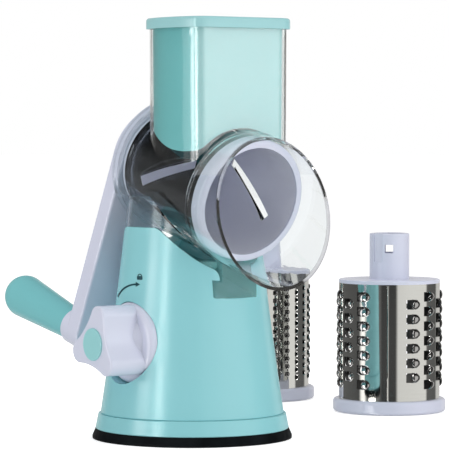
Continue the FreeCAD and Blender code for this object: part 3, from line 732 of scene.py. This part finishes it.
def spread(pattern, name, spots):
    """Copies a shape to every (angle, height) on a drum's wall and joins the copies."""
    copies = []
    for angle, z in spots:
        copy = bpy.data.objects.new(name, pattern.data.copy())
        bpy.context.scene.collection.objects.link(copy)
        copy.data.transform(Matrix.Rotation(angle, 4, "Z") @ Matrix.Translation((DRUM_RADIUS, 0, z)))
        copies.append(copy)
    pick(*copies)
    bpy.ops.object.join()
    return named(name)


def punched_tube(name, plug, spots):
    """The drum's steel tube about Z, with an opening at every spot."""
    pick()
    bpy.ops.mesh.primitive_cylinder_add(
        vertices=TUBE_SIDES, radius=DRUM_RADIUS, depth=DRUM_WALL_HIGH - DRUM_WALL_LOW,
        end_fill_type="NOTHING", location=(0, 0, (DRUM_WALL_HIGH + DRUM_WALL_LOW) / 2))
    tube = named(name)
    settle(tube, Matrix.Identity(4))
    wall = tube.modifiers.new("wall", "SOLIDIFY")
    wall.thickness = DRUM_WALL
    wall.offset = -1
    bpy.ops.object.modifier_apply(modifier="wall")
    plugs = spread(plug, "plugs", spots)
    pick(tube)
    cut = tube.modifiers.new("openings", "BOOLEAN")
    cut.operation = "DIFFERENCE"
    cut.solver = "EXACT"
    cut.object = plugs
    bpy.ops.object.modifier_apply(modifier="openings")
    bpy.data.objects.remove(plugs)
    bpy.data.objects.remove(plug)
    smooth(tube, 20)
    tube.data.materials.append(mirror_steel)
    tube.data.materials.append(shaded_inner_steel)
    # Faces that look inwards take the dark steel, as painted shade inside the drum.
    for face in tube.data.polygons:
        outwards = Vector((face.center.x, face.center.y, 0)).normalized()
        if face.normal.dot(outwards) < 0.5:
            face.material_index = 1
    return tube


# %% [markdown]
# ## Coarse drum
# Its openings stand in fourteen columns, every other one half a step higher, on either side of a
# plain stretch where the sheet is joined.

# %% Coarse openings
TOOTH_COLUMNS = 14
TOOTH_ROWS = 7
TOOTH_PITCH = 10.45 * MM
TOOTH_FIRST = 21.2 * MM
SEAM_ANGLE = math.radians(-131)
SEAM_HALF = math.radians(29.3)
TOOTH_STEP = (2 * math.pi - 2 * SEAM_HALF) / (TOOTH_COLUMNS - 1)

coarse_spots = []
for column in range(TOOTH_COLUMNS):
    short = 1 - column % 2
    for row in range(TOOTH_ROWS - short):
        coarse_spots.append((SEAM_ANGLE + SEAM_HALF + TOOTH_STEP * column,
                             TOOTH_FIRST + TOOTH_PITCH * (row + short / 2)))
coarse_sheet = punched_tube("coarse_sheet", coarse_plug, coarse_spots)
print("coarse openings:", len(coarse_spots), "faces:", len(coarse_sheet.data.polygons))

# %% [markdown]
# A hood is a quarter of a stretched ball: widest and highest at its cut lip, and drawn out behind
# until it meets the sheet. The ball is cut twice with bisect and given the sheet's thickness.

# %% Shape one hood
HOOD_SUNK = 0.4 * MM
HOOD_WALL = 0.5 * MM
LIP_LEAN = 0.45


def hood(name, length, width, height, lip, segments):
    """A punched hood with its lip at Y = lip and its tail towards +Y."""
    pick()
    bpy.ops.mesh.primitive_uv_sphere_add(segments=segments, ring_count=segments // 2, radius=1.0)
    made = named(name)
    made.scale = (height, length, width / 2)
    settle(made, Matrix.Identity(4))
    bpy.ops.object.mode_set(mode="EDIT")
    bpy.ops.mesh.select_all(action="SELECT")
    bpy.ops.mesh.bisect(plane_co=(-HOOD_SUNK, 0, 0), plane_no=(1, 0, 0), clear_inner=True)
    bpy.ops.mesh.select_all(action="SELECT")
    bpy.ops.mesh.bisect(plane_co=(0, 0, 0), plane_no=(-LIP_LEAN, 1, 0), clear_inner=True)
    bpy.ops.object.mode_set(mode="OBJECT")
    wall = made.modifiers.new("wall", "SOLIDIFY")
    wall.thickness = HOOD_WALL
    wall.offset = -1
    pick(made)
    bpy.ops.object.modifier_apply(modifier="wall")
    made.data.transform(Matrix.Translation((0, lip, 0)))
    smooth(made, 50)
    made.data.materials.append(hood_steel)
    return made


coarse_hood = hood("coarse_hood", 6.4 * MM, 7.4 * MM, 2.5 * MM, -0.9 * MM, 20)
print("one hood:", len(coarse_hood.data.polygons), "faces")

# %% Put the coarse drum together
LAP_WIDE = 1.1 * MM
LAP_HIGH = 0.35 * MM
LAP_SHORT = 1 * MM
LAP_EDGE = 0.3 * MM


def lap_strip(name, angle):
    """The sheet's lapped edge: a thin upright strip with a rounded edge."""
    pick()
    bpy.ops.mesh.primitive_cube_add(size=1, location=(0, 0, (DRUM_WALL_HIGH + DRUM_WALL_LOW) / 2))
    strip = named(name)
    strip.scale = (2 * LAP_HIGH, LAP_WIDE, DRUM_WALL_HIGH - DRUM_WALL_LOW - LAP_SHORT)
    settle(strip, Matrix.Identity(4))
    edge = strip.modifiers.new("edge", "BEVEL")
    edge.width = LAP_EDGE
    edge.segments = 3
    bpy.ops.object.modifier_apply(modifier="edge")
    strip.data.transform(Matrix.Rotation(angle, 4, "Z") @ Matrix.Translation((DRUM_RADIUS, 0, 0)))
    smooth(strip, 60)
    strip.data.materials.append(mirror_steel)
    return strip


def finish_drum(name, parts, place, node_name, body):
    """Joins a drum's steel parts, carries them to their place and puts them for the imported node."""
    pick(*parts)
    bpy.ops.object.join()
    joined = named(name)
    settle(joined, place)
    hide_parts(node_name)
    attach(joined, body)
    return joined


coarse_teeth = spread(coarse_hood, "coarse_teeth", coarse_spots)
bpy.data.objects.remove(coarse_hood)
coarse_lap = lap_strip("coarse_lap", SEAM_ANGLE)
coarse_steel = finish_drum("coarse_grating_sheet", [coarse_teeth, coarse_lap, coarse_sheet], COARSE_PLACE,
                           "coarse_drum_shell", "coarse_drum")
print("coarse drum:", len(coarse_steel.data.polygons), "faces")

# %% [markdown]
# ## Fine drum
# The fine drum has the same kind of tooth at about half the size, in twenty four full columns.

# %% Fine drum
FINE_COLUMNS = 24
FINE_FIRST_ANGLE = math.radians(-79)
FINE_PITCH = 5.8 * MM
FINE_FIRST = 17.6 * MM
FINE_ROWS = 12

fine_spots = []
for column in range(FINE_COLUMNS):
    lift = FINE_PITCH / 2 if column % 2 else 0
    for row in range(FINE_ROWS):
        fine_spots.append((FINE_FIRST_ANGLE + 2 * math.pi * column / FINE_COLUMNS,
                           FINE_FIRST + lift + FINE_PITCH * row))
fine_plug = opening_plug("fine_plug", 4.0 * MM, 3.4 * MM, 12)
fine_sheet = punched_tube("fine_sheet", fine_plug, fine_spots)
fine_hood = hood("fine_hood", 2.6 * MM, 4.4 * MM, 1.3 * MM, -0.3 * MM, 12)
fine_teeth = spread(fine_hood, "fine_teeth", fine_spots)
bpy.data.objects.remove(fine_hood)
fine_steel = finish_drum("fine_grating_sheet", [fine_teeth, fine_sheet], FINE_PLACE,
                         "fine_drum_shell", "fine_drum")
print("fine drum:", len(fine_spots), "teeth,", len(fine_steel.data.polygons), "faces")

# %% [markdown]
# ## Lips of the slicing drum
# Along one long edge of each slot the steel is pushed outwards as a low lip that lifts the slice.
# It is the same hood again, as long as the slot and leaning with it.

# %% Slicing lips
SLOT_COUNT = 4
SLOT_LONG = 56 * MM
SLOT_WIDE = 6 * MM
SLOT_LEAN = math.radians(27)
SLOT_MIDDLE = 48 * MM
SLOT_FIRST = math.radians(10.5)

slot_hood = hood("slot_hood", 5.0 * MM, SLOT_LONG - 3 * MM, 1.6 * MM, SLOT_WIDE / 2 - 0.4 * MM, 32)
slot_hood.data.transform(Matrix.Rotation(SLOT_LEAN, 4, "X"))
slot_spots = [(SLOT_FIRST + 2 * math.pi * turn / SLOT_COUNT, SLOT_MIDDLE) for turn in range(SLOT_COUNT)]
slicing_lips = spread(slot_hood, "slicing_lips", slot_spots)
bpy.data.objects.remove(slot_hood)
settle(slicing_lips, SLICING_PLACE)
slicing_lips.data.materials.clear()
slicing_lips.data.materials.append(blade_steel)
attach(slicing_lips, "slicing_drum")
print("slicing lips:", len(slicing_lips.data.polygons), "faces")

# %% [markdown]
# ## Mark beside the knob
# A printed arrow shows which way the knob locks, with a small padlock over it. Each sign is drawn
# flat in the picture's plane, projected onto the body along the view with a Shrinkwrap modifier,
# and then given the thickness of ink. Places are in pixels of the picture.

# %% Ink and the picture's plane
PICTURE_MIDDLE = (224.5, 226)
INK_THICK = 0.12 * MM
INK_OFF_BODY = 0.02 * MM


def ink_material():
    """Dark teal ink, a little worn."""
    material, tree, shader, where = material_tree("printed_ink")
    worn = noise(tree, where, 500, 3.0)
    link = tree.links.new
    link(two_tone(tree, worn, linear(14, 58, 66), linear(24, 72, 80)), shader.inputs["Base Color"])
    link(between(tree, noise(tree, where, 200), 0.35, 0.5), shader.inputs["Roughness"])
    return material


def picture_plane(pixel, target):
    """A matrix whose X and Y are one pixel right and one up, where the pixel's ray meets the target."""
    ray = Vector(((pixel[0] - PICTURE_MIDDLE[0]) / LENS_PIXELS,
                  (PICTURE_MIDDLE[1] - pixel[1]) / LENS_PIXELS, -1))
    direction = (camera.matrix_world.to_3x3() @ ray).normalized()
    place = target.ray_cast(camera.matrix_world.translation, direction)[1]
    depth = -(camera.matrix_world.inverted() @ place).z
    return camera.matrix_world @ Matrix.Translation(ray * depth) @ Matrix.Scale(depth / LENS_PIXELS, 4)


bpy.context.view_layer.update()
ink = ink_material()
print(ink.name)

# %% Print a sign on the body
SIGN_SLICES = 3
STAND_OFF = 40
SAME_POINT = 0.01


def print_sign(sign, pixel, landing):
    """Projects a flat sign, drawn in pixels about one pixel, onto the body and thickens it.

    The landing is a pixel well on the body, which tells how far off the body is."""
    body = frame["nodes"]["base_shell"]
    shift = Matrix.Translation((pixel[0] - landing[0], landing[1] - pixel[1], STAND_OFF))
    sign.matrix_world = picture_plane(landing, body) @ shift
    pick(sign)
    bpy.ops.object.mode_set(mode="EDIT")
    bpy.ops.mesh.select_all(action="SELECT")
    bpy.ops.mesh.remove_doubles(threshold=SAME_POINT)
    bpy.ops.mesh.quads_convert_to_tris()
    bpy.ops.mesh.subdivide(number_cuts=SIGN_SLICES)
    bpy.ops.mesh.normals_make_consistent(inside=False)
    bpy.ops.object.mode_set(mode="OBJECT")
    wrap = sign.modifiers.new("wrap", "SHRINKWRAP")
    wrap.target = body
    wrap.wrap_method = "PROJECT"
    wrap.use_project_z = True
    wrap.use_negative_direction = True
    wrap.use_positive_direction = False
    wrap.offset = INK_OFF_BODY
    bpy.ops.object.modifier_apply(modifier="wrap")
    bpy.ops.object.transform_apply(location=True, rotation=True, scale=True)
    skin = sign.modifiers.new("skin", "SOLIDIFY")
    skin.thickness = INK_THICK
    skin.offset = 1
    bpy.ops.object.modifier_apply(modifier="skin")
    sign.data.materials.clear()
    sign.data.materials.append(ink)
    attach(sign, "stand")
    return sign


# %% Draw the curved arrow
ARC_CENTRE = (136.8, 305.9)
ARC_RADIUS = 21.6
ARC_WIDTH = 1.7
ARC_FROM = 92
ARC_TO = 158
ARC_STEPS = 16


def arc_band(name, radius, width, start, end, steps):
    """A flat band along an arc about the origin, spun from one short edge, angles in degrees."""
    mesh = bpy.data.meshes.new(name)
    band = bpy.data.objects.new(name, mesh)
    bpy.context.scene.collection.objects.link(band)
    turn = math.radians(start)
    inner, outer = radius - width / 2, radius + width / 2
    mesh.from_pydata([(inner * math.cos(turn), inner * math.sin(turn), 0),
                      (outer * math.cos(turn), outer * math.sin(turn), 0)], [(0, 1)], [])
    pick(band)
    bpy.ops.object.mode_set(mode="EDIT")
    bpy.ops.mesh.select_all(action="SELECT")
    bpy.ops.mesh.spin(steps=steps, angle=math.radians(end - start), center=(0, 0, 0), axis=(0, 0, -1))
    bpy.ops.object.mode_set(mode="OBJECT")
    return band


def joined_flat(name, *parts):
    """Joins flat shapes to one sign."""
    pick(*parts)
    bpy.ops.object.join()
    return named(name)


def flat_head(name, size, place):
    """A three sided arrow head that points right, with its point at the place."""
    pick()
    bpy.ops.mesh.primitive_circle_add(vertices=3, radius=size, fill_type="NGON")
    head = named(name)
    turn = Matrix.Rotation(math.radians(-90), 4, "Z")
    head.data.transform(Matrix.Translation((*place, 0)) @ turn @ Matrix.Translation((0, -size, 0)))
    return head


ARROW_LANDING = (134, 288)
HEAD_SIZE = 2.9
HEAD_PLACE = (3.4, ARC_RADIUS)

shaft = arc_band("shaft", ARC_RADIUS, ARC_WIDTH, ARC_FROM, ARC_TO, ARC_STEPS)
head = flat_head("head", HEAD_SIZE, HEAD_PLACE)
arrow = print_sign(joined_flat("lock_arrow", shaft, head), ARC_CENTRE, ARROW_LANDING)
print("arrow:", len(arrow.data.polygons), "faces")

# %% Draw the padlock
LOCK_PLACE = (139.8, 276.0)
LOCK_WIDE = 5.6
LOCK_TALL = 3.8
SHACKLE_RADIUS = 1.8
SHACKLE_WIDTH = 0.9
CASE_CORNER = 0.8


def flat_block(name, wide, tall, low):
    """A flat rounded block that stands on a height and is centred across."""
    pick()
    bpy.ops.mesh.primitive_plane_add(size=1, location=(0, low + tall / 2, 0))
    block = named(name)
    block.scale = (wide, tall, 1)
    settle(block, Matrix.Identity(4))
    bpy.ops.object.mode_set(mode="EDIT")
    bpy.ops.mesh.select_all(action="SELECT")
    bpy.ops.mesh.bevel(offset=CASE_CORNER, segments=3, affect="VERTICES")
    bpy.ops.object.mode_set(mode="OBJECT")
    return block


case = flat_block("case", LOCK_WIDE, LOCK_TALL, -LOCK_TALL)
shackle = arc_band("shackle", SHACKLE_RADIUS, SHACKLE_WIDTH, 0, 180, 12)
padlock = print_sign(joined_flat("lock_sign", case, shackle), LOCK_PLACE, LOCK_PLACE)
print("padlock:", len(padlock.data.polygons), "faces")

# %% [markdown]
# ## End
# The dressed part has to stay in the imported model's box.

# %% Finish


print("done")
